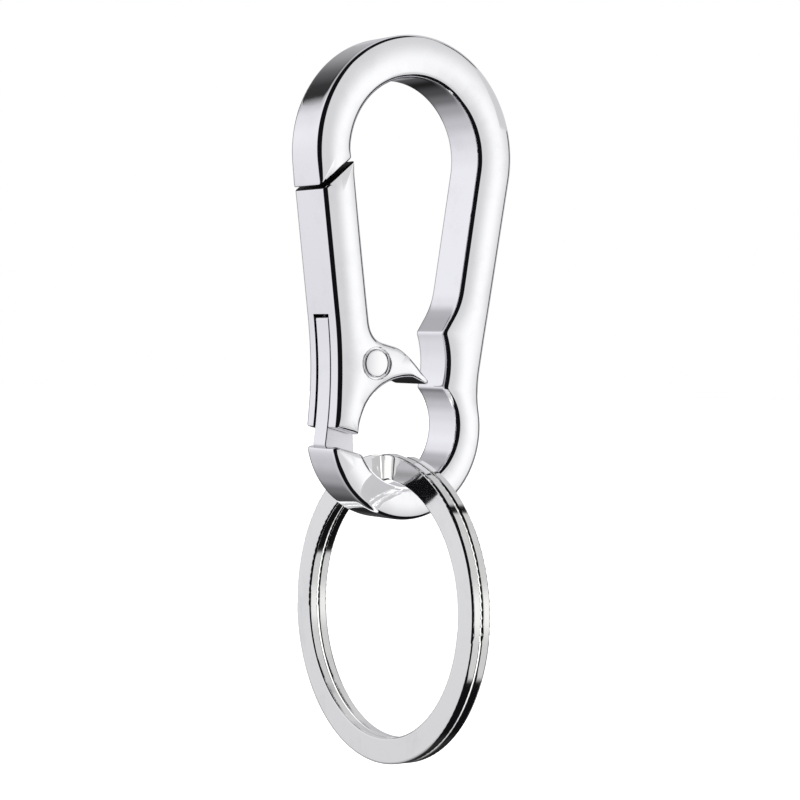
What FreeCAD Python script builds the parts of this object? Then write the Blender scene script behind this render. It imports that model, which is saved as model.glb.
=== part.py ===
"""Carabiner key ring: die-cast hook body, sprung gate on a rivet, and a two-turn split ring.

Millimetres. X runs from the gate side to the spine side, Y through the thickness, Z up.
The origin is the centre of the arch's round inside, half way through the thickness.
"""
import FreeCAD, Part
import math
import os

# ---- hook body -------------------------------------------------------------
BODY_THICK = 5.35         # through Y
ARCH_OUTER_R = 11.6
ARCH_SHIFT = 0.15         # the outer arch's centre lies this far right of and above the inner one's
ARCH_INNER_R = 7.6
LEG_LEAN = 8.0            # both legs lean in by this angle, degrees
SPINE_LEAN = 8.8          # the spine's outside leans a little more
EDGE_ROUND = 0.5          # rounding of the front and back edges
EYE_DROP = 26.4           # from the arch centre down to the eye centre
EYE_R = 5.85
BAR_OUTER_R = 8.9         # outside of the bar under the eye
BAR_SHIFT = 0.2           # the bar's outer round is struck this far below the eye's centre
NOSE_CUT = 40.0           # slant of the nose's end, degrees
NOSE_INNER_ANGLE = 186.0  # where the slanted end meets the arch's inside
LEDGE_OUTER_ANGLE = 190.6
LEDGE_INNER_ANGLE = 207.4

# ---- hinge -----------------------------------------------------------------
PIN_X = -4.2
PIN_Z = -20.3
PIN_R = 0.9
PIN_RUN = 0.05            # radial clearance in the tongue
HEAD_R = 1.38
HEAD_RISE = 0.03          # how far the domed head stands above the cheek
SINK_R = 1.6              # ring-shaped recess round the head
SINK_DEPTH = 0.35
TONGUE_THICK = 2.2
BOSS_R = 1.9
RELIEF_R = 8.72           # inside of the spine, struck from the pin

# ---- gate ------------------------------------------------------------------
GATE_THICK = 5.75
SLOT_WIDE = TONGUE_THICK + 0.45
SLOT_TOP_Z = -15.75
TONGUE_TOP_Z = -16.1
GATE_GAP = 0.35           # between the nose's end and the gate's end
GATE_FOOT = 0.1           # the gate's outer end lies this far below the eye's centre
SIDE_WAIST_X = -8.45      # hollow of the gate's outside, where it is narrowest
SIDE_WAIST_Z = -22.6
SIDE_R = 43.9

# ---- return spring ---------------------------------------------------------
WIRE = 0.34
COIL_R = PIN_R + 0.3      # wound round the pin's shank
COIL_PITCH = 0.38
POCKET_R = COIL_R + 0.3
POCKET_FLOOR_Y = -0.25
LEG_UP = 5.9
LEG_DOWN = 3.6

# ---- split ring ------------------------------------------------------------
RING_OUTER_R = 15.2
RING_INNER_R = 12.65
LAYER = 1.03              # thickness of one turn
LAYER_GAP = 0.05
RING_LIFT = 0.36          # air under the ring's inside where it hangs on the bar
STEP_ANGLE = 17.0         # arc over which the wire crosses between the turns
RING_EDGE = 0.22

os.makedirs("parts", exist_ok=True)


def at(x, z, y=0.0):
    return FreeCAD.Vector(x, y, z)


def polar(radius, degrees, x=0.0, z=0.0):
    """Point at a radius and angle, counted from +X towards +Z."""
    a = math.radians(degrees)
    return at(x + radius * math.cos(a), z + radius * math.sin(a))


def line(a, b):
    return Part.LineSegment(a, b).toShape()


def arc(a, middle, b):
    return Part.Arc(a, middle, b).toShape()


def plate(edges, y_low, y_high):
    """Closed outline drawn at Y = 0, thickened between two Y values."""
    face = Part.Face(Part.Wire(Part.__sortEdges__(edges)))
    face.translate(FreeCAD.Vector(0, y_low, 0))
    return face.extrude(FreeCAD.Vector(0, y_high - y_low, 0))


def polygon(points):
    return [line(a, b) for a, b in zip(points, points[1:] + points[:1])]


def disc(radius, x, z, y_low, y_high):
    return Part.makeCylinder(radius, y_high - y_low, at(x, z, y_low), FreeCAD.Vector(0, 1, 0))


def leg_x(radius, z):
    """X of the right-hand leaning line that touches an arch circle of this radius."""
    a = math.radians(LEG_LEAN)
    return (radius + z * math.sin(a)) / math.cos(a)


def outer_polar(degrees):
    """Point on the outer arch."""
    return polar(ARCH_OUTER_R, degrees, ARCH_SHIFT, ARCH_SHIFT)


def outer_x(side, lean, z):
    """X of the outer leaning line on one side (-1 or 1) that touches the outer arch."""
    a = math.radians(lean)
    return ARCH_SHIFT + side * (ARCH_OUTER_R + (z - ARCH_SHIFT) * math.sin(a)) / math.cos(a)


def side_x(z):
    """X of the hollow outside shared by the gate's lower half and the tongue."""
    return SIDE_WAIST_X - SIDE_R + math.sqrt(SIDE_R ** 2 - (z - SIDE_WAIST_Z) ** 2)


def soften(solid, corners):
    """Round the upright edge at each corner, given as (point, radius)."""
    for spot, radius in corners:
        found = []
        for edge in solid.Edges:
            a = edge.Vertexes[0].Point
            b = edge.Vertexes[-1].Point
            if abs(a.y - b.y) > 0.5 and math.hypot(a.x - spot.x, a.z - spot.z) < 0.02:
                found.append(edge)
        solid = solid.makeFillet(radius, found)
    return solid


def face_edges(solid, half):
    """Edges that lie wholly in the front or the back face."""
    found = []
    for edge in solid.Edges:
        box = edge.BoundBox
        if box.YLength < 1e-6 and abs(abs(box.YMin) - half) < 1e-6:
            found.append(edge)
    return found


def nose_cut():
    """Inner corner of the slanted parting line, and the unit direction down along it."""
    inner = polar(ARCH_INNER_R, NOSE_INNER_ANGLE)
    slant = math.radians(NOSE_CUT)
    return inner, at(-math.cos(slant), -math.sin(slant))


def below_line(start, direction, drop):
    """Big block under a slanted line, lowered by a drop at right angles to it."""
    normal = at(-direction.z, direction.x)
    if normal.z > 0:
        normal = normal * -1
    start = start + normal * drop
    a = start - direction * 40
    b = start + direction * 40
    return plate(polygon([a, b, b + normal * 60, a + normal * 60]), -6, 6)


def tangent_arc(start, centre, end):
    """Shorter arc from start to end about a centre."""
    middle = (start + end) * 0.5 - centre
    radius = (start - centre).Length
    return arc(start, centre + middle.normalize() * radius, end)


def bar_centre():
    return at(0, -EYE_DROP - BAR_SHIFT)


def waist_edges(start):
    """Hollow between the spine's outside and the bar's round, touching both smoothly."""
    lean = math.radians(SPINE_LEAN)
    normal = at(math.cos(lean), -math.sin(lean))
    eye = bar_centre()
    away = start - eye
    radius = (away.Length ** 2 - BAR_OUTER_R ** 2) / (2 * BAR_OUTER_R - 2 * away.dot(normal))
    centre = start + normal * radius
    touch = eye + (centre - eye).normalize() * BAR_OUTER_R
    return [tangent_arc(start, centre, touch)], touch


def eye_top_edges(start_angle, end):
    """Tighter arc that leaves the eye's circle smoothly and ends at the lower crease."""
    eye = at(0, -EYE_DROP)
    start = polar(EYE_R, start_angle, z=-EYE_DROP)
    out = (start - eye).normalize()
    away = end - eye
    radius = (away.Length ** 2 - 2 * EYE_R * away.dot(out) + EYE_R ** 2) / (2 * EYE_R - 2 * away.dot(out))
    return [tangent_arc(start, eye + out * (EYE_R - radius), end)], start


def ledge():
    """Outer end of the slanting shoulder and the unit direction in along it."""
    outer = polar(BAR_OUTER_R, LEDGE_OUTER_ANGLE, z=bar_centre().z)
    inner = polar(EYE_R, LEDGE_INNER_ANGLE, z=-EYE_DROP)
    return outer, (inner - outer).normalize()


def hook():
    """One casting: nose, arch, spine, eye and the shoulder below the gate.

    Both ends are drawn too long and trimmed after the edges are rounded.
    """
    half = BODY_THICK / 2
    left = outer_polar(180 + LEG_LEAN)
    right = outer_polar(-SPINE_LEAN)
    left_in = polar(ARCH_INNER_R, 180 + LEG_LEAN)
    nose_out = at(outer_x(-1, LEG_LEAN, -7), -7)
    nose_in = at(-leg_x(ARCH_INNER_R, -6.4), -6.4)
    spine_low = at(outer_x(1, SPINE_LEAN, 5.9 - EYE_DROP), 5.9 - EYE_DROP)
    end_out = polar(BAR_OUTER_R, 180, z=bar_centre().z)
    end_in = polar(EYE_R, 180, z=-EYE_DROP)
    crease_low = polar(RELIEF_R, -15.0, PIN_X, PIN_Z)
    crease_high = polar(RELIEF_R, 21.5, PIN_X, PIN_Z)
    spine_in = at(leg_x(ARCH_INNER_R, PIN_Z + 6.0), PIN_Z + 6.0)
    arch_in = polar(ARCH_INNER_R, -LEG_LEAN)
    waist, bar_right = waist_edges(spine_low)
    eye_top, eye_right = eye_top_edges(8, crease_low)
    edges = waist + eye_top + [
        line(nose_out, left),
        arc(left, outer_polar(90), right),
        line(right, spine_low),
        arc(bar_right, at(0, bar_centre().z - BAR_OUTER_R), end_out),
        line(end_out, end_in),
        arc(end_in, at(0, -EYE_DROP - EYE_R), eye_right),
        arc(crease_low, polar(RELIEF_R, 0, PIN_X, PIN_Z), crease_high),
        line(crease_high, spine_in),
        line(spine_in, arch_in),
        arc(arch_in, at(0, ARCH_INNER_R), left_in),
        line(left_in, nose_in),
        line(nose_in, nose_out),
    ]
    body = plate(edges, -half, half)
    body = soften(body, [(crease_low, 0.6), (crease_high, 0.6), (spine_in, 7.0)])
    body = body.makeFillet(EDGE_ROUND, face_edges(body, half))
    nose_inner, nose_way = nose_cut()
    ledge_outer, ledge_way = ledge()
    open_side = below_line(nose_inner, nose_way, 0)
    open_side = open_side.common(Part.makeBox(14, 12, 30, at(-16, -10, -6)))
    above_ledge = polygon([ledge_outer - ledge_way * 2, ledge_outer + ledge_way * 4, at(-4, -20), at(-14, -20)])
    return body.cut(open_side).cut(plate(above_ledge, -6, 6))


def tongue():
    """Thin plate standing up from the shoulder, with the boss round the pin."""
    half = TONGUE_THICK / 2
    low_z = -EYE_DROP - 1.8
    low = at(side_x(low_z) + 0.05, low_z)
    middle = at(side_x(-22.0) + 0.05, -22.0)
    high = at(side_x(TONGUE_TOP_Z - 0.5) + 0.05, TONGUE_TOP_Z - 0.5)
    top_out = at(high.x + 0.45, TONGUE_TOP_Z)
    top_in = at(-7.1, TONGUE_TOP_Z)
    neck_top = at(-3.2, PIN_Z - 1.75)
    neck_end = at(-5.45, -EYE_DROP - 2.8)
    foot = at(-7.9, -EYE_DROP - 3.8)
    edges = [
        line(foot, low),
        arc(low, middle, high),
        line(high, top_out),
        line(top_out, top_in),
        line(top_in, at(-6.2, -18.9)),
        line(at(-6.2, -18.9), at(PIN_X, PIN_Z + 1.0)),
        line(at(PIN_X, PIN_Z + 1.0), neck_top),
        arc(neck_top, at(-5.03, -EYE_DROP + 2.2), neck_end),
        line(neck_end, foot),
    ]
    blade = plate(edges, -half, half)
    return blade.fuse(disc(BOSS_R, PIN_X, PIN_Z, -half, half))


def leg_box(start, direction, length, wide, y_low, y_high):
    """Straight channel of a given width along a direction in the XZ plane."""
    side = at(-direction.z * wide / 2, direction.x * wide / 2)
    back = start - direction * (wide / 2)
    end = start + direction * length
    return plate(polygon([back + side, end + side, end - side, back - side]), y_low, y_high)


def leg_directions():
    """Unit directions of the spring's two legs, and where each leaves the coil."""
    up = at(-0.272, 0.962).normalize()
    down = at(-0.25, -0.968).normalize()
    up_from = at(PIN_X - COIL_R * up.z, PIN_Z + COIL_R * up.x)
    down_from = at(PIN_X + COIL_R * down.z, PIN_Z - COIL_R * down.x)
    return up, up_from, down, down_from


def frame():
    body = hook().fuse(tongue())
    top = TONGUE_THICK / 2 + 0.1
    up, up_from, down, down_from = leg_directions()
    body = body.cut(disc(PIN_R + PIN_RUN, PIN_X, PIN_Z, -top, top))
    body = body.cut(disc(POCKET_R, PIN_X, PIN_Z, POCKET_FLOOR_Y, top))
    body = body.cut(leg_box(up_from, up, LEG_UP + 1, 0.6, POCKET_FLOOR_Y, top))
    body = body.cut(leg_box(down_from, down, LEG_DOWN + 0.2, 0.5, POCKET_FLOOR_Y, top))
    return body.removeSplitter()


def gate_body():
    """The lever's outline at full thickness, rounded all along and then trimmed at both ends."""
    half = GATE_THICK / 2
    side_high = at(side_x(-16.0), -16.0)
    side_low = at(side_x(-EYE_DROP - 2.6), -EYE_DROP - 2.6)
    slope = (side_high.z - SIDE_WAIST_Z) / math.sqrt(SIDE_R ** 2 - (side_high.z - SIDE_WAIST_Z) ** 2)
    top_out = at(side_high.x - slope * (1.5 - side_high.z), 1.5)
    heel = at(-4.75, -18.05)
    top_in = at(heel.x - 0.157 * (1.5 - heel.z), 1.5)
    brow = at(-1.0, -18.75)
    tip = at(2.1, -21.95)
    low_in = at(-5.87, -EYE_DROP - 2.6)
    low_bend = at(-5.85, -EYE_DROP - 0.4)
    edges = [
        line(top_in, top_out),
        line(top_out, side_high),
        arc(side_high, at(SIDE_WAIST_X, SIDE_WAIST_Z), side_low),
        line(side_low, low_in),
        line(low_in, low_bend),
        arc(low_bend, at(-3.05, -22.35), tip),
        line(tip, brow),
        line(brow, heel),
        line(heel, top_in),
    ]
    body = soften(plate(edges, -half, half), [(tip, 0.6), (brow, 1.5), (heel, 3.0)])
    body = body.makeFillet(EDGE_ROUND, face_edges(body, half))
    nose_inner, nose_way = nose_cut()
    ledge_outer, ledge_way = ledge()
    end_corner = at(side_low.x, -EYE_DROP - GATE_FOOT)
    body = body.common(below_line(nose_inner, nose_way, GATE_GAP))
    return body.cut(below_line(end_corner, ledge_way, 0))


def gate_slot():
    """Room for the tongue: open outwards and at the bottom, closed by a floor above the pin."""
    half = SLOT_WIDE / 2
    stop = polar(6, -32, PIN_X, PIN_Z)
    low_z = -EYE_DROP - 2.6
    upper = polygon([at(-12, SLOT_TOP_Z), at(-6.2, SLOT_TOP_Z), at(-5.5, -18.5), at(PIN_X, PIN_Z), at(-12, PIN_Z)])
    lower = polygon([at(PIN_X, PIN_Z), stop, at(stop.x, low_z), at(-12, low_z), at(-12, PIN_Z)])
    room = plate(upper, -half, half)
    room = room.fuse(plate(lower, -half, half))
    return room.fuse(disc(BOSS_R + 0.2, PIN_X, PIN_Z, -half, half))


def gate():
    up, up_from, down, down_from = leg_directions()
    half = GATE_THICK / 2
    body = gate_body().cut(gate_slot())
    body = body.cut(disc(PIN_R, PIN_X, PIN_Z, -half, half))
    for side in (-1, 1):
        low = min(side * half, side * (half - SINK_DEPTH))
        body = body.cut(disc(SINK_R, PIN_X, PIN_Z, low, low + SINK_DEPTH))
    hole_start = up_from + up * (LEG_UP - 1.2)
    hole_start.y = leg_y(0)
    body = body.cut(Part.makeCylinder(WIRE / 2 + 0.1, 1.5, hole_start, up))
    return body.removeSplitter()


def pin_head(side):
    """Low domed head: a short cylinder trimmed by a large ball."""
    half = GATE_THICK / 2
    seat = half - SINK_DEPTH
    rise = HEAD_RISE + 0.05
    ball_r = (HEAD_R ** 2 + rise ** 2) / (2 * rise)
    top = half + HEAD_RISE
    ball = Part.makeSphere(ball_r, at(PIN_X, PIN_Z, side * (top - ball_r)))
    low, high = sorted([side * seat, side * (top + 0.5)])
    return disc(HEAD_R, PIN_X, PIN_Z, low, high).common(ball)


def pivot_pin():
    """Rivet with a low domed head sunk in each cheek."""
    seat = GATE_THICK / 2 - SINK_DEPTH
    shank = disc(PIN_R, PIN_X, PIN_Z, -seat, seat)
    return shank.fuse([pin_head(-1), pin_head(1)])


def leg_y(turns):
    return -0.06 + COIL_PITCH * turns


def return_spring():
    """Torsion spring: leg up into the gate, almost two turns round the pin, leg down in the tongue."""
    up, up_from, down, down_from = leg_directions()
    start = math.degrees(math.atan2(up_from.z - PIN_Z, up_from.x - PIN_X)) % 360
    end = math.degrees(math.atan2(down_from.z - PIN_Z, down_from.x - PIN_X)) % 360 + 720
    steps = 46
    points = []
    for i in range(4):
        p = up_from + up * (LEG_UP - 0.3) * (1 - i / 4)
        points.append(at(p.x, p.z, leg_y(0)))
    for i in range(steps + 1):
        t = i / steps
        p = polar(COIL_R, start + (end - start) * t, PIN_X, PIN_Z)
        points.append(at(p.x, p.z, leg_y(t * (end - start) / 360)))
    last = leg_y((end - start) / 360)
    for i in range(1, 5):
        p = down_from + down * LEG_DOWN * i / 4
        points.append(at(p.x, p.z, last))
    curve = Part.BSplineCurve()
    curve.interpolate(points)
    path = Part.Wire([curve.toShape()])
    section = Part.Wire([Part.makeCircle(WIRE / 2, points[0], points[0] - points[1])])
    return path.makePipeShell([section], True, True)


def ring_section(x_mid, degrees, centre_z):
    """Rounded rectangle of flat wire, standing at one place round the ring."""
    a = math.radians(degrees)
    out = FreeCAD.Vector(0, math.sin(a), math.cos(a))
    centre = at(x_mid, centre_z)
    across = FreeCAD.Vector(1, 0, 0)
    low_r = RING_INNER_R
    high_r = RING_OUTER_R
    half = LAYER / 2
    e = RING_EDGE
    k = e * (1 - math.sqrt(0.5))

    def spot(r, x):
        return centre + out * r + across * x
    edges = [
        line(spot(low_r + e, -half), spot(high_r - e, -half)),
        arc(spot(high_r - e, -half), spot(high_r - k, -half + k), spot(high_r, -half + e)),
        line(spot(high_r, -half + e), spot(high_r, half - e)),
        arc(spot(high_r, half - e), spot(high_r - k, half - k), spot(high_r - e, half)),
        line(spot(high_r - e, half), spot(low_r + e, half)),
        arc(spot(low_r + e, half), spot(low_r + k, half - k), spot(low_r, half - e)),
        line(spot(low_r, half - e), spot(low_r, -half + e)),
        arc(spot(low_r, -half + e), spot(low_r + k, -half + k), spot(low_r + e, -half)),
    ]
    return Part.Wire(edges)


def ring_centre_z():
    """Height at which the ring's inside rests on the bar's two rounded edges, plus the lift."""
    edge_y = BODY_THICK / 2 - EDGE_ROUND
    edge_z = -EYE_DROP - EYE_R - EDGE_ROUND
    reach = RING_INNER_R - EDGE_ROUND
    return edge_z - math.sqrt(reach ** 2 - edge_y ** 2) + RING_LIFT


def split_ring():
    """Flat wire wound twice; the two turns meet at one slanting step at the top."""
    centre_z = ring_centre_z()
    shift = (LAYER + LAYER_GAP) / 2
    half_step = STEP_ANGLE / 2
    axis_at = at(0, centre_z)
    turn = 360 - STEP_ANGLE
    first = Part.Face(ring_section(-shift, half_step, centre_z))
    first = first.revolve(axis_at, FreeCAD.Vector(-1, 0, 0), turn)
    second = Part.Face(ring_section(shift, half_step, centre_z))
    second = second.revolve(axis_at, FreeCAD.Vector(-1, 0, 0), turn)
    sections = []
    count = 9
    for i in range(count):
        t = i / (count - 1)
        ease = 0.5 - 0.5 * math.cos(math.pi * t)
        sections.append(ring_section(-shift + 2 * shift * ease, -half_step + STEP_ANGLE * t, centre_z))
    step = Part.makeLoft(sections, True, False)
    ring = first.fuse([step, second])
    return ring.removeSplitter()


pieces = {
    "frame": frame,
    "gate": gate,
    "pivot_pin": pivot_pin,
    "return_spring": return_spring,
    "split_ring": split_ring,
}
for name, make in pieces.items():
    shape = make()
    if len(shape.Solids) == 1:
        shape = shape.Solids[0]
    shape.exportStep("parts/" + name + ".step")
    box = shape.BoundBox
    print(name, shape.isValid(), len(shape.Solids), round(shape.Volume, 1),
          [round(v, 2) for v in (box.XMin, box.YMin, box.ZMin, box.XMax, box.YMax, box.ZMax)])
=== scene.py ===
"""Looks of the carabiner key ring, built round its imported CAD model. Metres, Z up."""

import math

import bmesh
import bpy
import numpy as np
from mathutils import Matrix, Vector


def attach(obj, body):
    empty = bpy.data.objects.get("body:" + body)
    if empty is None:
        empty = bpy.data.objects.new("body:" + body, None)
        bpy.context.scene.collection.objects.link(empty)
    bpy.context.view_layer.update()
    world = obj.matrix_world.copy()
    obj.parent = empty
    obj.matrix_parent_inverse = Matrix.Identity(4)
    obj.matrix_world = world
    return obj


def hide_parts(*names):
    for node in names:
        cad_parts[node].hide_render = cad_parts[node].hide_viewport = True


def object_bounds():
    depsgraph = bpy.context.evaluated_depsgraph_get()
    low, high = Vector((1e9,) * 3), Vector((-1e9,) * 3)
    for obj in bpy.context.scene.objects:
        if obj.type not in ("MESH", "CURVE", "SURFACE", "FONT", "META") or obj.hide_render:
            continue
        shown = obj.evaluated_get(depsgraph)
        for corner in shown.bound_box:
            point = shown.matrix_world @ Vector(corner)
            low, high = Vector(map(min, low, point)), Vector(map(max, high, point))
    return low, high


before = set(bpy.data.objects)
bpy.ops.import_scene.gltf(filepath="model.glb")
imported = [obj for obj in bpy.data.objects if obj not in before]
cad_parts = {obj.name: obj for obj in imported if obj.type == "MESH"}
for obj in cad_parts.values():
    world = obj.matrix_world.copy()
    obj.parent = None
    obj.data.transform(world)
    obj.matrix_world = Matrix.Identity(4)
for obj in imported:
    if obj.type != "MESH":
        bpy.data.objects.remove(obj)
cad_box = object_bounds()

# ---------------------------------------------------------------- hook body
# The hook is one zinc casting, tumbled until its faces are softly crowned and its edges round, then plated bright.
# Its outline runs from the nose over the arch, down the spine, round the eye and up to the shoulder under the gate.
MM = 0.001
ARCH_OUT, ARCH_IN = 11.6, 7.6
ARCH_MID = np.array([0.15, 0.15])
EYE, EYE_IN = np.array([0.0, -26.4]), 5.85
BAR_MID, BAR_OUT = np.array([0.0, -26.6]), 8.9
PIN = np.array([-4.2, -20.3])


def polar(centre, radius, degrees):
    """Point at a radius and an angle about a centre, counted from +X towards +Z."""
    a = math.radians(degrees)
    return np.array([centre[0] + radius * math.cos(a), centre[1] + radius * math.sin(a)])


def meet(p, along_p, q, along_q):
    """Where the line through p and the line through q cross."""
    steps = np.linalg.solve(np.column_stack([along_p, -np.asarray(along_q)]), np.subtract(q, p))
    return np.asarray(p) + np.asarray(along_p) * steps[0]


def arc(centre, radius, start, end, count=60):
    """Points centre + radius (cos a, sin a), with a running evenly from start to end in degrees."""
    a = np.radians(np.linspace(start, end, count))
    return np.column_stack([centre[0] + radius * np.cos(a), centre[1] + radius * np.sin(a)])


def touching_arc(start, end, centre, count=60):
    """Shorter arc about a centre from start to end: the angle runs evenly and the radius blends between the two."""
    a = np.subtract(start, centre)
    b = np.subtract(end, centre)
    turn = math.atan2(a[0] * b[1] - a[1] * b[0], float(np.dot(a, b)))
    angles = math.atan2(a[1], a[0]) + turn * np.linspace(0, 1, count)
    radii = np.linspace(np.hypot(*a), np.hypot(*b), count)
    return np.column_stack([centre[0] + radii * np.cos(angles), centre[1] + radii * np.sin(angles)])


def even(points, count):
    """Points at equal steps of length along a polyline, both ends included."""
    points = np.asarray(points, float)
    steps = np.hypot(*np.diff(points, axis=0).T)
    keep = np.concatenate([[True], steps > 1e-9])
    points = points[keep]
    along = np.concatenate([[0], np.cumsum(np.hypot(*np.diff(points, axis=0).T))])
    where = np.linspace(0, along[-1], count)
    return np.column_stack([np.interp(where, along, points[:, k]) for k in (0, 1)])


def round_corners(loop, spread):
    """Closed outline averaged along its length with a bell weight of this spread, which rounds its corners."""
    step = np.hypot(*(loop[1] - loop[0]))
    reach = max(1, int(round(3 * spread / step)))
    offsets = np.arange(-reach, reach + 1)
    weight = np.exp(-0.5 * (offsets * step / spread) ** 2)
    weight /= weight.sum()
    return sum(w * np.roll(loop, -k, axis=0) for k, w in zip(offsets, weight))


def keyed(loop, keys):
    """For each outline point, a point on the plate's middle line: keys pair outline places with middle points,
    and between two keys the middle point moves evenly with the length along the outline."""
    count = len(loop)
    found = []
    for place, middle in keys:
        nearest = int(np.argmin(np.hypot(*(loop - place).T)))
        found.append((nearest, middle))
    found.sort(key=lambda pair: pair[0])
    index = np.array([found[-1][0] - count] + [f[0] for f in found] + [found[0][0] + count])
    values = np.array([found[-1][1]] + [f[1] for f in found] + [found[0][1]])
    where = np.arange(count)
    return np.column_stack([np.interp(where, index, values[:, k]) for k in (0, 1)])


def crowned_sheet(loop, middle, low, high, edge, crown, wall=5, corner=9, face=14):
    """Half of a plate, from its wall to its crowned face, as a grid: one row per outline point.

    Along the line from the outline to the middle point, with s the distance in from the outline, the wall stands
    at s = 0 up to the corner, the corner is an arc of radius edge, and the face is high - crown ((1 - s / length)
    squared), whose slope where the arc ends is the slope the arc starts from. The crown fades where the plate is narrow.
    """
    inward = middle - loop
    length = np.hypot(*inward.T)
    length = np.maximum(length, edge * 1.2)
    crown = crown * np.minimum(1.0, length / 1.9) ** 2
    unit = inward / np.maximum(np.hypot(*inward.T), 1e-6)[:, None]
    lean = np.arctan(2 * crown / length)
    s0 = edge * (1 - np.sin(lean))
    drop = crown * (1 - s0 / length) ** 2
    shoulder = high - drop - edge * np.cos(lean)
    rows_s, rows_y = [], []
    for k in range(wall):
        rows_s.append(np.zeros_like(length))
        rows_y.append(low + (shoulder - low) * k / wall)
    for k in range(corner + 1):
        a = (math.pi / 2 - lean) * k / corner
        rows_s.append(edge * (1 - np.cos(a)))
        rows_y.append(shoulder + edge * np.sin(a))
    for k in range(1, face + 1):
        s = s0 + (length - s0) * k / face
        rows_s.append(s)
        rows_y.append(high - crown * (1 - s / length) ** 2)
    s = np.stack(rows_s, axis=1)
    y = np.stack(rows_y, axis=1)
    xz = loop[:, None, :] + unit[:, None, :] * s[:, :, None]
    xz[:, -1, :] = middle
    return np.stack([xz[..., 0], y, xz[..., 1]], axis=-1)


def grid_mesh(name, sheets, sharp=35.0):
    """One mesh from grids that are closed along their first direction, with doubles merged, in metres."""
    points, quads, base = [], [], 0
    for grid in sheets:
        rows, columns = grid.shape[:2]
        index = base + np.arange(rows * columns).reshape(rows, columns)
        after = np.roll(index, -1, axis=0)
        quads.append(np.stack([index[:, :-1], after[:, :-1], after[:, 1:], index[:, 1:]], axis=-1).reshape(-1, 4))
        points.append(grid.reshape(-1, 3))
        base += rows * columns
    mesh = bpy.data.meshes.new(name)
    mesh.from_pydata((np.concatenate(points) * MM).tolist(), [], np.concatenate(quads).tolist())
    work = bmesh.new()
    work.from_mesh(mesh)
    bmesh.ops.remove_doubles(work, verts=work.verts, dist=0.000004)
    bmesh.ops.recalc_face_normals(work, faces=work.faces)
    work.to_mesh(mesh)
    work.free()
    mesh.shade_smooth()
    mesh.set_sharp_from_angle(angle=math.radians(sharp))
    return mesh


def plate_mesh(name, loop, middle, half, edge, crown, sharp=35.0):
    """Whole plate, the front and the back alike."""
    back = crowned_sheet(loop, middle, 0.0, half, edge, crown)
    front = back * np.array([1, -1, 1])
    return grid_mesh(name, [back, front], sharp)


def piece(name, mesh, body, material, slot, *stands_for):
    """Object at the origin that rides on a body, wears a material and stands for CAD nodes."""
    thing = bpy.data.objects.new(name, mesh)
    bpy.context.scene.collection.objects.link(thing)
    mesh.materials.clear()
    mesh.materials.append(material)
    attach(thing, body)
    if stands_for:
        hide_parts(*stands_for)
    return thing


def finish_group():
    """Masks from object coordinates that all the plated pieces share: polish grain, scuffs and the casting's ripple."""
    group = bpy.data.node_groups.new("plated_metal_finish", "ShaderNodeTree")
    face = group.interface
    face.new_socket(name="Vector", in_out="INPUT", socket_type="NodeSocketVector")
    face.new_socket(name="Grain Stretch", in_out="INPUT", socket_type="NodeSocketVector")
    face.new_socket(name="Grain", in_out="OUTPUT", socket_type="NodeSocketFloat")
    face.new_socket(name="Scuff", in_out="OUTPUT", socket_type="NodeSocketFloat")
    face.new_socket(name="Ripple", in_out="OUTPUT", socket_type="NodeSocketFloat")
    nodes, links = group.nodes, group.links
    source = nodes.new("NodeGroupInput")
    out = nodes.new("NodeGroupOutput")
    stretch = nodes.new("ShaderNodeVectorMath")
    stretch.operation = "MULTIPLY"
    links.new(source.outputs["Vector"], stretch.inputs[0])
    links.new(source.outputs["Grain Stretch"], stretch.inputs[1])
    grain = nodes.new("ShaderNodeTexNoise")
    grain.inputs["Scale"].default_value = 1.0
    grain.inputs["Detail"].default_value = 4.0
    grain.inputs["Roughness"].default_value = 0.6
    links.new(stretch.outputs[0], grain.inputs["Vector"])
    links.new(grain.outputs["Fac"], out.inputs["Grain"])
    patches = nodes.new("ShaderNodeTexNoise")
    patches.inputs["Scale"].default_value = 260.0
    patches.inputs["Detail"].default_value = 5.0
    patches.inputs["Roughness"].default_value = 0.65
    links.new(source.outputs["Vector"], patches.inputs["Vector"])
    cut = nodes.new("ShaderNodeMapRange")
    cut.inputs["From Min"].default_value = 0.52
    cut.inputs["From Max"].default_value = 0.78
    links.new(patches.outputs["Fac"], cut.inputs["Value"])
    links.new(cut.outputs["Result"], out.inputs["Scuff"])
    ripple = nodes.new("ShaderNodeTexNoise")
    ripple.inputs["Scale"].default_value = 210.0
    ripple.inputs["Detail"].default_value = 1.0
    links.new(source.outputs["Vector"], ripple.inputs["Vector"])
    links.new(ripple.outputs["Fac"], out.inputs["Ripple"])
    return group


finish = finish_group()


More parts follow.
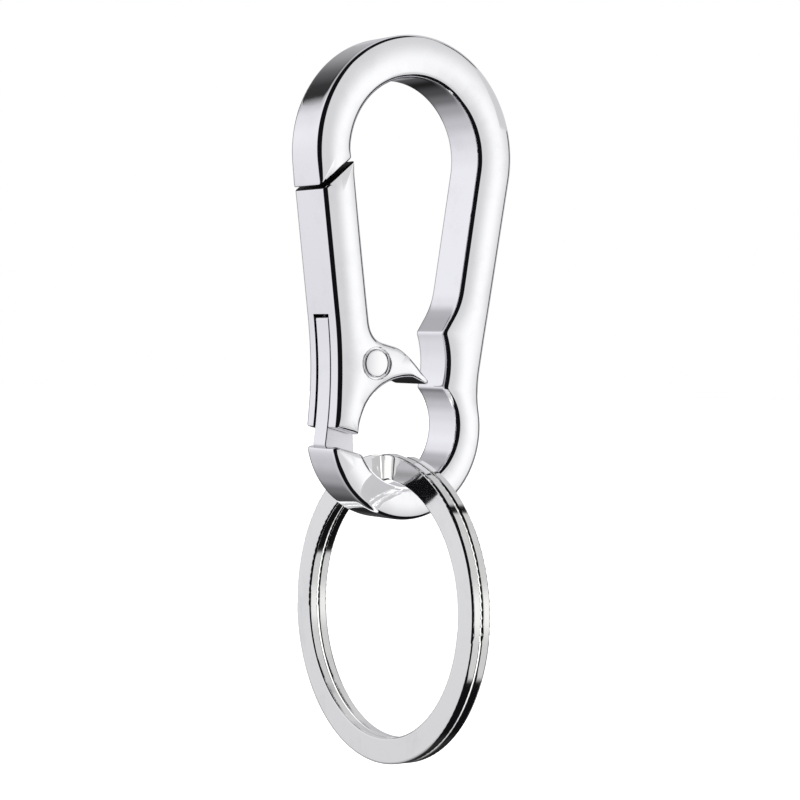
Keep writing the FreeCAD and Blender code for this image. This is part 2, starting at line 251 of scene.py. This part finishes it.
def metal(name, colour, roughness, stretch, grain_depth, ripple_depth, seed):
    """Metal whose roughness, tint and height follow the shared grain, scuff and ripple masks."""
    material = bpy.data.materials.new(name)
    material.use_nodes = True
    nodes, links = material.node_tree.nodes, material.node_tree.links
    shader = nodes["Principled BSDF"]
    shader.inputs["Metallic"].default_value = 1.0
    place = nodes.new("ShaderNodeTexCoord")
    shift = nodes.new("ShaderNodeVectorMath")
    shift.operation = "ADD"
    shift.inputs[1].default_value = (seed, seed * 0.7, seed * 1.3)
    links.new(place.outputs["Object"], shift.inputs[0])
    masks = nodes.new("ShaderNodeGroup")
    masks.node_tree = finish
    masks.inputs["Grain Stretch"].default_value = stretch
    links.new(shift.outputs[0], masks.inputs["Vector"])
    dull = nodes.new("ShaderNodeMapRange")
    dull.inputs["To Min"].default_value = roughness
    dull.inputs["To Max"].default_value = roughness + 0.08
    links.new(masks.outputs["Scuff"], dull.inputs["Value"])
    fine = nodes.new("ShaderNodeMath")
    fine.operation = "MULTIPLY_ADD"
    fine.inputs[1].default_value = 0.04
    links.new(masks.outputs["Grain"], fine.inputs[0])
    links.new(dull.outputs["Result"], fine.inputs[2])
    links.new(fine.outputs[0], shader.inputs["Roughness"])
    tint = nodes.new("ShaderNodeMix")
    tint.data_type = "RGBA"
    tint.inputs["A"].default_value = (*colour, 1)
    tint.inputs["B"].default_value = (colour[0] * 0.93, colour[1] * 0.93, colour[2] * 0.94, 1)
    links.new(masks.outputs["Scuff"], tint.inputs["Factor"])
    links.new(tint.outputs["Result"], shader.inputs["Base Color"])
    low = nodes.new("ShaderNodeBump")
    low.inputs["Strength"].default_value = 1.0
    low.inputs["Distance"].default_value = ripple_depth
    links.new(masks.outputs["Ripple"], low.inputs["Height"])
    high = nodes.new("ShaderNodeBump")
    high.inputs["Strength"].default_value = 1.0
    high.inputs["Distance"].default_value = grain_depth
    links.new(masks.outputs["Grain"], high.inputs["Height"])
    links.new(low.outputs["Normal"], high.inputs["Normal"])
    links.new(high.outputs["Normal"], shader.inputs["Normal"])
    return material


def slope(degrees):
    """Unit direction at an angle, counted from +X towards +Z."""
    return polar((0, 0), 1.0, degrees)


def hook_outline():
    """Outer boundary, shoulder, inner boundary and slanted nose end, and the middle line that the faces rise to."""
    nose_in = polar((0, 0), ARCH_IN, 186)
    nose_out = meet(nose_in, slope(40), polar(ARCH_MID, ARCH_OUT, 188), slope(98))
    spine_top = polar(ARCH_MID, ARCH_OUT, -8.8)
    spine_low = meet(spine_top, slope(-98.8), (0, -20.5), (1, 0))
    ledge_out, ledge_in = polar(BAR_MID, BAR_OUT, -169.4), polar(EYE, EYE_IN, -152.6)
    ledge_way = (ledge_in - ledge_out) / np.hypot(*(ledge_in - ledge_out))
    away = spine_low - BAR_MID
    hollow = (away @ away - BAR_OUT ** 2) / (2 * BAR_OUT - 2 * away @ slope(-8.8))
    centre = spine_low + slope(-8.8) * hollow
    turn = math.degrees(math.atan2(*(centre - BAR_MID)[::-1]))
    touch = polar(BAR_MID, BAR_OUT, turn)
    outer = [[nose_out], arc(ARCH_MID, ARCH_OUT, 188, -8.8, 200), touching_arc(spine_low, touch, centre),
             arc(BAR_MID, BAR_OUT, turn, -165.5, 140),
             soft_bend(polar(BAR_MID, BAR_OUT, -165.5), polar(BAR_MID, BAR_OUT, -168.6), ledge_out + ledge_way * 0.75)]
    crease_low = polar(PIN, 8.72, -15)
    eye_start = polar(EYE, EYE_IN, 8)
    away = crease_low - EYE
    bend = (away @ away - 2 * EYE_IN * away @ slope(8) + EYE_IN ** 2) / (2 * EYE_IN - 2 * away @ slope(8))
    crease_high = polar(PIN, 8.72, 21.5)
    leg_low = meet(polar((0, 0), ARCH_IN, -8), slope(-98), (0, PIN[1] + 6.0), (1, 0))
    into = (crease_high - leg_low) / np.hypot(*(crease_high - leg_low))
    inner = [soft_bend(ledge_in - ledge_way * 0.2, ledge_in, polar(EYE, EYE_IN, -150.6)), arc(EYE, EYE_IN, -150.6, 8, 140),
             touching_arc(eye_start, crease_low, EYE + slope(8) * (EYE_IN - bend)),
             arc(PIN, 8.72, -15, 21.5, 60),
             soft_bend(leg_low + into * 1.5, leg_low, leg_low + slope(82) * 1.5),
             arc((0, 0), ARCH_IN, -8, 186, 180)]
    loop = np.concatenate(outer + inner + [[nose_out]])
    loop = round_corners(even(loop, 1601)[:-1], 0.13)
    tip = (-9.6, -0.9)
    keys = [(nose_out, tip), (nose_out + slope(98) * 0.9, tip), (nose_in, tip)]
    pairs = [(polar(ARCH_MID, ARCH_OUT, a), polar((0, 0), ARCH_IN, a)) for a in range(172, -10, -12)]
    pairs += [(meet(spine_top, slope(-98.8), (0, a), (1, 0)), b) for a, b in (
        (-8, polar((0, 0), ARCH_IN, -8) + slope(-98) * 6.6), (-14.6, leg_low), (-17.6, crease_high))]
    pairs += [((8.6, -20.2), polar(PIN, 8.72, 0)), ((8.4, -22.9), crease_low)]
    pairs += [(polar(BAR_MID, BAR_OUT, a), polar(EYE, EYE_IN, a)) for a in range(8, -149, -12)]
    for a, b in pairs:
        keys += [(a, (a + np.asarray(b)) / 2), (b, (a + np.asarray(b)) / 2)]
    end = (polar(BAR_MID, BAR_OUT, -148) + polar(EYE, EYE_IN, -148)) / 2
    keys += [(polar(BAR_MID, BAR_OUT, -169.4), end), (polar(EYE, EYE_IN, -152.6), end)]
    thick = 0.58 - 0.28 * np.exp(-((loop - (nose_in + nose_out) / 2) @ slope(130) / 0.5) ** 2) * (np.abs(loop[:, 0] + 8.95) < 1.65)
    return loop, keyed(loop, keys), thick


def soft_bend(a, corner, b, count=12):
    """Curve from a to b that leaves and arrives along the sides of a corner: (1-t)^2 a + 2t(1-t) corner + t^2 b."""
    t = np.linspace(0, 1, count)[:, None]
    return (1 - t) ** 2 * np.asarray(a) + 2 * t * (1 - t) * np.asarray(corner) + t ** 2 * np.asarray(b)


frame_metal = metal("frame_plated_zinc", (0.93, 0.93, 0.945), 0.03, (900, 900, 260), 0.0000008, 0.000002, 0.0)
hook_loop, hook_middle, hook_edge = hook_outline()
hook = piece("hook_casting", plate_mesh("hook_casting", hook_loop, hook_middle, 2.675, hook_edge, 0.2), "frame",
             frame_metal, "frame_metal", "frame")

# ---------------------------------------------------------------- tongue
# A thin plate cast in one with the shoulder. It stands in the gate's slot and carries the rivet.


def side_x(z):
    """X of the hollow outer side that the gate and the tongue share: an arc of 43.9 mm radius."""
    return -52.35 + np.sqrt(43.9 ** 2 - (np.asarray(z) + 22.6) ** 2)


def tongue_outline():
    """Hollow outer side, flat top, back down to the rivet and along the neck to the eye's corner."""
    z = np.linspace(-28.3, -16.14, 60)
    outside = np.column_stack([side_x(z) + 0.05, z])
    inside = [(outside[-1, 0] + 0.12, -16.02), (-7.1, -16.02), (-6.2, -18.9), (-5.2, -18.7), (-3.4, -18.9), (-2.5, -20.3),
              (-3.2, -22.05), (-4.2, -22.9), (-5.03, -24.2), (-5.62, -26.5), (-5.45, -29.2), (-7.9, -29.9)]
    loop = np.concatenate([outside, inside, outside[:1]])
    loop = round_corners(even(loop, 701)[:-1], 0.07)
    middle = [(-7.0, -28.6), (-6.8, -24.3), (-6.4, -20.8), (-7.8, -17.4), (-4.4, -20.6)]
    keys = [((outside[0, 0], -28.3), middle[0]), ((-8.4, -24.4), middle[1]), ((-8.4, -20.9), middle[2]),
            ((-8.8, -17.2), middle[3]), ((-7.2, -16.1), middle[3]), ((-6.3, -18.8), middle[2]),
            ((-2.6, -20.2), middle[4]), ((-4.3, -22.9), middle[2]), ((-5.05, -24.2), middle[1]), ((-5.45, -29.2), middle[0])]
    return loop, keyed(loop, keys)


tongue_loop, tongue_middle = tongue_outline()
tongue = piece("hook_tongue", plate_mesh("hook_tongue", tongue_loop, tongue_middle, 1.1, 0.12, 0.02), "frame",
               frame_metal, "frame_metal")


def second_finish(thing, material, chosen):
    """Give the faces picked by a rule on their centres (millimetres) and normals a second material."""
    count = len(thing.data.polygons)
    centres, normals = np.empty(count * 3), np.empty(count * 3)
    thing.data.polygons.foreach_get("center", centres)
    thing.data.polygons.foreach_get("normal", normals)
    picked = chosen(centres.reshape(-1, 3) / MM, normals.reshape(-1, 3))
    thing.data.materials.append(material)
    thing.data.polygons.foreach_set("material_index", picked.astype(np.int32))


# Darker, rougher metal on the tongue's two flat faces, the ones that stand between the gate's cheeks in the slot.
tongue_slot_face_metal = metal("tongue_slot_faces_darker", (0.70, 0.70, 0.725), 0.12, (900, 900, 260), 0.000001, 0.000002, 0.4)
second_finish(tongue, tongue_slot_face_metal, lambda centres, normals: np.abs(normals[:, 1]) > 0.93)

# ---------------------------------------------------------------- gate
# The gate is a second casting: two cheeks and a web between them, slotted for the tongue, with a thumb beak.
# It is cast a little thicker than the hook, and a ring-shaped recess round the rivet keeps the head clear.


def gate_outline():
    """Outer side from the slanted top down to the slanted foot, then the lower hollow, beak, brow and inner side."""
    z = np.linspace(-16.0, -28.0, 90)
    hollow = np.column_stack([side_x(z), z])
    top = polar((0, 0), ARCH_IN, 186) + slope(-50) * 0.28
    heel, brow, tip = np.array([-4.75, -18.05]), np.array([-1.0, -18.75]), np.array([2.1, -21.95])
    top_in = meet(top, slope(40), heel, (-0.157, 1.0))
    top_out = meet(top, slope(40), hollow[0], (-6.6 / 43.4, 1.0))
    start, mid = np.array([-5.85, -26.8]), np.array([-3.05, -22.35])
    a, b = mid - start, tip - start
    d = 2 * (a[0] * b[1] - a[1] * b[0])
    centre = start + np.array([b[1] * (a @ a) - a[1] * (b @ b), a[0] * (b @ b) - b[0] * (a @ a)]) / d
    first = math.degrees(math.atan2(*(start - centre)[::-1])) % 360
    last = math.degrees(math.atan2(*(tip - centre)[::-1])) % 360
    under = arc(centre, np.hypot(*(start - centre)), first, last, 120)
    fall = (-29.09 + 28.24) / (-5.19 + 8.75)
    foot = np.array([side_x(-29.0), -26.5])
    under = under[under[:, 1] > foot[1] + (under[:, 0] - foot[0]) * fall]
    hollow = hollow[hollow[:, 1] > foot[1] + (hollow[:, 0] - foot[0]) * fall + 0.02]
    under = under[under[:, 0] < 0.2]
    foot_out, foot_in = [(p[0], foot[1] + (p[0] - foot[0]) * fall) for p in (hollow[-1], under[0])]
    loop = np.concatenate([[top_out], hollow, [foot_out], [foot_in], under,
                           soft_bend(under[-1], (1.0, -21.84), (1.72, -22.16)),
                           soft_bend((1.72, -22.16), (2.12, -22.34), (2.1, -21.9)),
                           soft_bend(tip + (-1.9, 1.96), brow, brow + (-1.1, 0.17)),
                           soft_bend(heel + (1.6, -0.29), heel, heel + (-0.28, 1.8)), [top_in], [top_out]])
    loop = round_corners(even(loop, 1401)[:-1], 0.09)
    head, waist, hip, knee, heart = (-8.75, -4.2), (-7.63, -12.0), (-6.75, -17.9), (-7.08, -25.5), (-6.0, -20.6)
    lip, beak = (-0.6, -20.8), (0.8, -21.4)
    keys = [(top_out, head), (top_out + (0.12, -0.8), head), (top_in, head), (top_in + (0.13, -0.9), head),
            ((-9.56, -12.0), waist), ((-5.7, -12.0), waist), ((-8.7, -17.9), hip), ((-4.85, -17.2), hip),
            ((-8.5, -20.6), heart), ((-3.5, -18.35), heart), ((-4.6, -23.35), heart),
            ((0.1, -19.8), lip), ((-0.5, -21.75), lip),
            ((1.2, -20.9), beak), (tip, beak), ((1.2, -21.85), beak), ((-8.53, -25.2), knee), ((-5.6, -25.2), knee), (foot_out, knee), (foot_in, knee)]
    edge = np.interp(loop[:, 0], [-2.0, 0.5], [0.5, 0.3])
    edge = edge + 0.08 - 0.30 * np.exp(-((loop - top) @ slope(130) / 0.6) ** 2) * (loop[:, 0] > -10.3)
    return loop, keyed(loop, keys), edge


def flat_sheet(loop, middle, y, steps=6):
    """Flat face at one Y, from the outline to the middle line."""
    s = np.linspace(0, 1, steps)[None, :, None]
    xz = loop[:, None, :] * (1 - s) + middle[:, None, :] * s
    return np.stack([xz[..., 0], np.full(xz.shape[:2], y), xz[..., 1]], axis=-1)


def cheek_sheets(loop, middle, low, high, edge, crown):
    """Closed cheek: its wall and crowned face, and the flat inside at the slot."""
    return [crowned_sheet(loop, middle, low, high, edge, crown, wall=4), flat_sheet(loop, middle, low)]


gate_metal = metal("gate_plated_zinc", (0.93, 0.93, 0.945), 0.03, (900, 900, 260), 0.0000008, 0.000002, 0.31)
gate_loop, gate_middle, gate_edge = gate_outline()
back_cheek = cheek_sheets(gate_loop, gate_middle, 1.325, 2.875, gate_edge, 0.2)
front_cheek = [sheet * np.array([1, -1, 1]) for sheet in back_cheek]


def above_floor(points, inset):
    """Points moved to the solid side of the slot's floor: down the gate, round the rivet and out under the beak."""
    x, z = points.T
    z = np.where(x < 0, np.maximum(z, -22.0 + inset), z)
    floor_x = np.interp(-z, [15.74, 15.75, 18.5, 20.3, 22.0], [-99.0, -6.2, -5.5, -4.2, -1.5])
    return np.column_stack([np.maximum(x, floor_x + inset), z])


web_loop = above_floor(gate_loop, 0.0)
web_middle = above_floor(gate_middle, 0.4)
web_back = flat_sheet(web_loop, web_middle, 1.325)
web_wall = np.stack([np.stack([web_loop[:, 0], np.full(len(web_loop), y), web_loop[:, 1]], axis=-1) for y in (-1.325, 0, 1.325)], axis=1)
gate_cheeks = grid_mesh("gate_cheeks", back_cheek + front_cheek)
gate_web = grid_mesh("gate_web", [web_back, web_back * np.array([1, -1, 1]), web_wall])
gate_piece = piece("gate_cheeks", gate_cheeks, "gate", gate_metal, "gate_metal", "gate")
gate_middle_piece = piece("gate_web", gate_web, "gate", gate_metal, "gate_metal")


def sink(thing):
    """Ring-shaped recess round the rivet, cut from each cheek by a turned drum of 1.56 mm radius whose mouth flares
    along a quarter circle, so that the recess has a rounded lip."""
    a = np.linspace(0, 2 * math.pi, 97)[:-1]
    flare = np.linspace(0, math.pi / 2, 6)
    profile = [(0.0, 2.50), (1.56, 2.50)] + [(1.74 - 0.18 * math.cos(t), 2.70 + 0.18 * math.sin(t)) for t in flare]
    profile = np.array(profile + [(1.80, 3.4), (0.0, 3.4)])
    grid = np.stack([PIN[0] + profile[None, :, 0] * np.cos(a)[:, None], np.repeat(profile[None, :, 1], 96, axis=0),
                     PIN[1] + profile[None, :, 0] * np.sin(a)[:, None]], axis=-1)
    drum = bpy.data.objects.new("recess_drum", grid_mesh("recess_drum", [grid, grid * np.array([1, -1, 1])]))
    bpy.context.scene.collection.objects.link(drum)
    cut = thing.modifiers.new("recess", "BOOLEAN")
    cut.operation = "DIFFERENCE"
    cut.solver = "EXACT"
    cut.use_hole_tolerant = True
    cut.object = drum
    bpy.context.view_layer.update()
    made = bpy.data.meshes.new_from_object(thing.evaluated_get(bpy.context.evaluated_depsgraph_get()))
    thing.modifiers.clear()
    thing.data = made
    bpy.data.objects.remove(drum)


sink(gate_piece)

# Painted shade: near-black metal on the nose's end and on the gate's top end, either side of the gap between them,
# stands in for the shade that falls in that gap.
nose_gap_painted_shade_metal = metal("nose_gap_painted_shade", (0.035, 0.035, 0.038), 0.45, (900, 900, 900), 0.000002, 0.000002, 0.9)
nose_corner = polar((0, 0), ARCH_IN, 186)


def near_nose_gap(centres, low, high):
    """True where a face centre lies between two distances above the slanted plane through the nose's inner corner."""
    above = (centres[:, [0, 2]] - nose_corner) @ slope(130)
    return (above > low) & (above < high) & (centres[:, 0] < -5.5) & (centres[:, 2] > -9.5)


# Painted shade on the hook's nose end and on the gate's top end, next to the gap.
second_finish(hook, nose_gap_painted_shade_metal, lambda centres, normals: near_nose_gap(centres, -0.3, 0.13))
for part in (gate_piece, gate_middle_piece):
    second_finish(part, nose_gap_painted_shade_metal, lambda centres, normals: near_nose_gap(centres, -0.37, -0.2))

# ---------------------------------------------------------------- rivet
# A polished steel rivet with a low flat-domed head in each cheek's recess.


def rivet_mesh():
    """Profile turned about Y through the hinge: shank, head's underside, rounded rim and a shallow dome."""
    a = np.linspace(0, math.pi / 2, 7)
    rim = np.column_stack([1.17 + 0.21 * np.sin(a), 2.65 + 0.21 * np.cos(a)])
    r = np.linspace(0, 1.17, 9)[:-1]
    dome = np.column_stack([r, 2.86 + 0.04 * (1 - (r / 1.17) ** 2)])
    half = np.concatenate([dome, rim, [(1.38, 2.51), (0.9, 2.51), (0.9, 0.0)]])
    turn = np.linspace(0, 2 * math.pi, 97)[:-1]
    grid = np.stack([PIN[0] + half[None, :, 0] * np.cos(turn)[:, None],
                     np.repeat(half[None, :, 1], 96, axis=0),
                     PIN[1] + half[None, :, 0] * np.sin(turn)[:, None]], axis=-1)
    return grid_mesh("rivet", [grid, grid * np.array([1, -1, 1])], 40)


pin_metal = metal("pin_polished_steel", (0.93, 0.93, 0.94), 0.05, (1500, 1500, 1500), 0.000001, 0.000001, 0.53)
rivet = piece("rivet", rivet_mesh(), "gate", pin_metal, "pin_metal", "pivot_pin")

# ---------------------------------------------------------------- return spring
# Bright spring wire, hidden in the tongue's pocket with one leg in the gate and one in the tongue.
spring_metal = metal("spring_wire_steel", (0.56, 0.56, 0.58), 0.28, (2600, 2600, 2600), 0.000002, 0.0, 0.71)
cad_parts["return_spring"].data.materials.clear()
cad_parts["return_spring"].data.materials.append(spring_metal)

# ---------------------------------------------------------------- split ring
# Flat steel wire wound twice and nickel plated. It keeps a faint drawn grain along its faces, and glows a light grey
# where it is seen in mirrored metal: a painted reflection.
ring_metal_and_painted_glow = metal("ring_plated_steel_painted_glow", (0.86, 0.865, 0.845), 0.05, (300, 1600, 1600), 0.000001, 0.000002, 0.17)
ring_nodes = ring_metal_and_painted_glow.node_tree
# Painted reflection: the ring glows a light grey to glossy rays only, so it shows lighter where the hook and the ring
# itself mirror it.
ring_seen = ring_nodes.nodes.new("ShaderNodeLightPath")
ring_painted_reflection_glow = ring_nodes.nodes.new("ShaderNodeMix")
ring_painted_reflection_glow.data_type = "RGBA"
ring_painted_reflection_glow.inputs["A"].default_value = (0, 0, 0, 1)
ring_painted_reflection_glow.inputs["B"].default_value = (0.60, 0.60, 0.61, 1)
ring_nodes.links.new(ring_seen.outputs["Is Glossy Ray"], ring_painted_reflection_glow.inputs["Factor"])
ring_nodes.links.new(ring_painted_reflection_glow.outputs["Result"], ring_nodes.nodes["Principled BSDF"].inputs["Emission Color"])
ring_nodes.nodes["Principled BSDF"].inputs["Emission Strength"].default_value = 1.0
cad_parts["split_ring"].data.materials.clear()
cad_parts["split_ring"].data.materials.append(ring_metal_and_painted_glow)

# ---------------------------------------------------------------- floor
# A plain white table well below the hanging ring. It only gives a white ground: the metal mirrors the room.
floor_mesh = bpy.data.meshes.new("floor")
floor_z = cad_box[0][2] - 0.03
floor_mesh.from_pydata([(-4, -4, floor_z), (4, -4, floor_z), (4, 4, floor_z), (-4, 4, floor_z)], [], [(0, 1, 2, 3)])
floor = bpy.data.objects.new("floor", floor_mesh)
bpy.context.scene.collection.objects.link(floor)
floor_material = bpy.data.materials.new("floor_white")
floor_material.use_nodes = True
floor_shader = floor_material.node_tree.nodes["Principled BSDF"]
floor_shader.inputs["Base Color"].default_value = (0.95, 0.95, 0.95, 1)
floor_shader.inputs["Roughness"].default_value = 0.9
floor_shader.inputs["Emission Color"].default_value = (1, 1, 1, 1)
floor_shader.inputs["Emission Strength"].default_value = 1.0
floor_mesh.materials.append(floor_material)
floor.visible_glossy = False
floor.visible_diffuse = False
floor.visible_shadow = False

# ---------------------------------------------------------------- studio
# The metal mirrors the room: a soft panel ahead of its face with a brighter middle, black cloth round the camera,
# and pale walls behind that darken overhead and below.
world = bpy.data.worlds.new("studio")
bpy.context.scene.world = world
world.use_nodes = True
room = world.node_tree
backdrop = room.nodes["Background"]
heading = room.nodes.new("ShaderNodeTexCoord")
parts = room.nodes.new("ShaderNodeSeparateXYZ")
room.links.new(heading.outputs["Generated"], parts.inputs[0])


def sum_of(operation, a, b=None, c=None):
    """One Math node on numbers or sockets."""
    node = room.nodes.new("ShaderNodeMath")
    node.operation = operation
    for socket, value in zip(node.inputs, (a, b, c)):
        if value is None:
            continue
        if isinstance(value, (int, float)):
            socket.default_value = value
        else:
            room.links.new(value, socket)
    return node.outputs[0]


def rise(value, low, high):
    """0 below low, 1 above high, eased between."""
    node = room.nodes.new("ShaderNodeMapRange")
    node.interpolation_type = "SMOOTHSTEP"
    node.inputs["From Min"].default_value = low
    node.inputs["From Max"].default_value = high
    room.links.new(value, node.inputs["Value"])
    return node.outputs["Result"]


def between(value, low, high, soft):
    """1 from low to high with soft shoulders."""
    return sum_of("SUBTRACT", rise(value, low - soft, low + soft), rise(value, high - soft, high + soft))


def blended(mask, under, over):
    """Over where the mask is 1, under where it is 0; both are colours or colour sockets."""
    mix = room.nodes.new("ShaderNodeMix")
    mix.data_type = "RGBA"
    room.links.new(mask, mix.inputs["Factor"])
    for name, value in (("A", under), ("B", over)):
        if isinstance(value, tuple):
            mix.inputs[name].default_value = (*value, 1)
        else:
            room.links.new(value, mix.inputs[name])
    return mix.outputs["Result"]


x, y, z = parts.outputs
round_deg = sum_of("MULTIPLY", sum_of("ARCTAN2", x, sum_of("MULTIPLY", y, -1.0)), 57.2958)
height_deg = sum_of("MULTIPLY", sum_of("ARCSINE", z), 57.2958)
wheel_deg = sum_of("MULTIPLY", sum_of("ARCTAN2", z, sum_of("MULTIPLY", x, -1.0)), 57.2958)

wheel = room.nodes.new("ShaderNodeMapRange")
wheel.inputs["From Min"].default_value = -180
wheel.inputs["From Max"].default_value = 180
room.links.new(wheel_deg, wheel.inputs["Value"])
walls = room.nodes.new("ShaderNodeValToRGB")
walls.color_ramp.interpolation = "EASE"
WALL_STOPS = [(-180, 0.34), (-160, 0.08), (-135, 0.015), (-110, 0.07), (-92, 0.16), (-75, 0.36), (-50, 0.56), (-25, 0.74), (0, 0.83),
              (22, 0.89), (40, 0.82), (58, 0.48), (75, 0.40), (95, 0.62), (120, 0.66), (150, 0.56), (180, 0.46)]
stops = walls.color_ramp.elements
for place, grey in WALL_STOPS:
    where = (place + 180) / 360
    stop = stops[0] if place == -180 else stops[-1] if place == 180 else stops.new(where)
    stop.color = (grey, grey * 0.993, min(1.0, grey * 1.045), 1)
room.links.new(wheel.outputs["Result"], walls.inputs["Fac"])

behind = rise(y, 0.12, 0.30)
panel = sum_of("MAXIMUM", sum_of("MULTIPLY", between(round_deg, -7, 62, 3.0), between(height_deg, -38, 50, 2.0)),
               sum_of("MULTIPLY", between(round_deg, 8, 76, 1.5), between(height_deg, 42, 54, 1.0)))
glow = sum_of("MULTIPLY", between(round_deg, 30, 50, 9.0), between(height_deg, -11, 13, 9.0))
ahead = blended(glow, (0.70, 0.70, 0.71), (1.06, 1.06, 1.06))
right = sum_of("MULTIPLY", rise(round_deg, 83, 88), between(height_deg, -38, 60, 3.0))
front = blended(panel, blended(right, (0.006, 0.006, 0.007), (0.62, 0.62, 0.63)), ahead)
seen = room.nodes.new("ShaderNodeLightPath")
aside = sum_of("SQRT", sum_of("ADD", sum_of("MULTIPLY", x, x), sum_of("MULTIPLY", z, z)))
outline = between(aside, 0.24, 0.38, 0.04)
far_side = blended(rise(aside, 0.28, 0.32), (0.70, 0.70, 0.71), walls.outputs["Color"])
far_side = blended(outline, far_side, (0.01, 0.01, 0.01))
mirrored = blended(behind, front, far_side)
room.links.new(blended(seen.outputs["Is Camera Ray"], mirrored, (1.0, 1.0, 1.0)), backdrop.inputs["Color"])
backdrop.inputs["Strength"].default_value = 1.0

board_x = np.linspace(-0.046, 0.062, 34)
board_z = np.array([0.046, 0.092])
board_grid = np.stack(np.broadcast_arrays(board_x[:, None], np.array(0.082), board_z[None, :]), axis=-1)
board_mesh = bpy.data.meshes.new("dark_board")
corners = np.arange(66).reshape(33, 2)
board_mesh.from_pydata(board_grid.reshape(-1, 3).tolist(), [],
                       np.stack([corners[:, 0], corners[:, 0] + 2, corners[:, 1] + 2, corners[:, 1]], axis=1).tolist())
board = bpy.data.objects.new("dark_board", board_mesh)
bpy.context.scene.collection.objects.link(board)
board_material = bpy.data.materials.new("board_shaded_cloth")
board_material.use_nodes = True
cloth = board_material.node_tree
cloth.nodes.remove(cloth.nodes["Principled BSDF"])
cloth_place = cloth.nodes.new("ShaderNodeTexCoord")
cloth_parts = cloth.nodes.new("ShaderNodeSeparateXYZ")
cloth_range = cloth.nodes.new("ShaderNodeMapRange")
cloth_range.inputs["From Min"].default_value = -0.046
cloth_range.inputs["From Max"].default_value = 0.062
cloth_ramp = cloth.nodes.new("ShaderNodeValToRGB")
cloth_glow = cloth.nodes.new("ShaderNodeEmission")
for place, grey in ((0.0, 0.66), (0.085, 0.03), (0.2, 0.04), (0.36, 0.13), (0.55, 0.32), (0.8, 0.48), (1.0, 0.58)):
    stop = cloth_ramp.color_ramp.elements[0] if place == 0 else cloth_ramp.color_ramp.elements[-1] if place == 1 else \
        cloth_ramp.color_ramp.elements.new(place)
    stop.color = (grey, grey, grey * 1.03, 1)
cloth.links.new(cloth_place.outputs["Object"], cloth_parts.inputs[0])
cloth.links.new(cloth_parts.outputs["X"], cloth_range.inputs["Value"])
cloth.links.new(cloth_range.outputs["Result"], cloth_ramp.inputs["Fac"])
cloth.links.new(cloth_ramp.outputs["Color"], cloth_glow.inputs["Color"])
cloth.links.new(cloth_glow.outputs[0], cloth.nodes["Material Output"].inputs["Surface"])
board_mesh.materials.append(board_material)
card_mesh = bpy.data.meshes.new("white_card")
card_mesh.from_pydata([(0.06, -0.05, 0.014), (0.06, 0.06, 0.014), (0.06, 0.06, 0.039), (0.06, -0.05, 0.039)],
                      [], [(0, 1, 2, 3)])
card = bpy.data.objects.new("white_card", card_mesh)
bpy.context.scene.collection.objects.link(card)
card_material = bpy.data.materials.new("card_white")
card_material.use_nodes = True
card_shader = card_material.node_tree.nodes["Principled BSDF"]
card_shader.inputs["Base Color"].default_value = (0, 0, 0, 1)
card_shader.inputs["Emission Color"].default_value = (0.66, 0.66, 0.67, 1)
card_shader.inputs["Emission Strength"].default_value = 1.0
card_mesh.materials.append(card_material)
for held in (board, card):
    held.visible_camera = False
    held.visible_diffuse = False
    held.visible_shadow = False

bpy.context.scene.view_settings.view_transform = "Standard"
bpy.context.scene.view_settings.look = "None"

# ---------------------------------------------------------------- camera
# Long lens, level with the lower part of the hook, a third of a turn towards the gate side.
camera_data = bpy.data.cameras.new("camera")
camera_data.lens = 99.0
camera_data.sensor_width = 36.0
camera_data.clip_start = 0.01
camera_data.clip_end = 20
camera = bpy.data.objects.new("camera", camera_data)
bpy.context.scene.collection.objects.link(camera)
azimuth = math.radians(-35.24)
elevation = math.radians(0.96)
roll = math.radians(1.74)
back = Vector((math.sin(azimuth) * math.cos(elevation), -math.cos(azimuth) * math.cos(elevation), math.sin(elevation)))
level = back.cross(Vector((0, 0, 1))).normalized() * -1
upright = back.cross(level)
right = level * math.cos(roll) + upright * math.sin(roll)
up = upright * math.cos(roll) - level * math.sin(roll)
camera.matrix_world = Matrix.Translation((-0.12446, -0.17705, -0.02021)) @ Matrix((right, up, back)).transposed().to_4x4()
bpy.context.scene.camera = camera
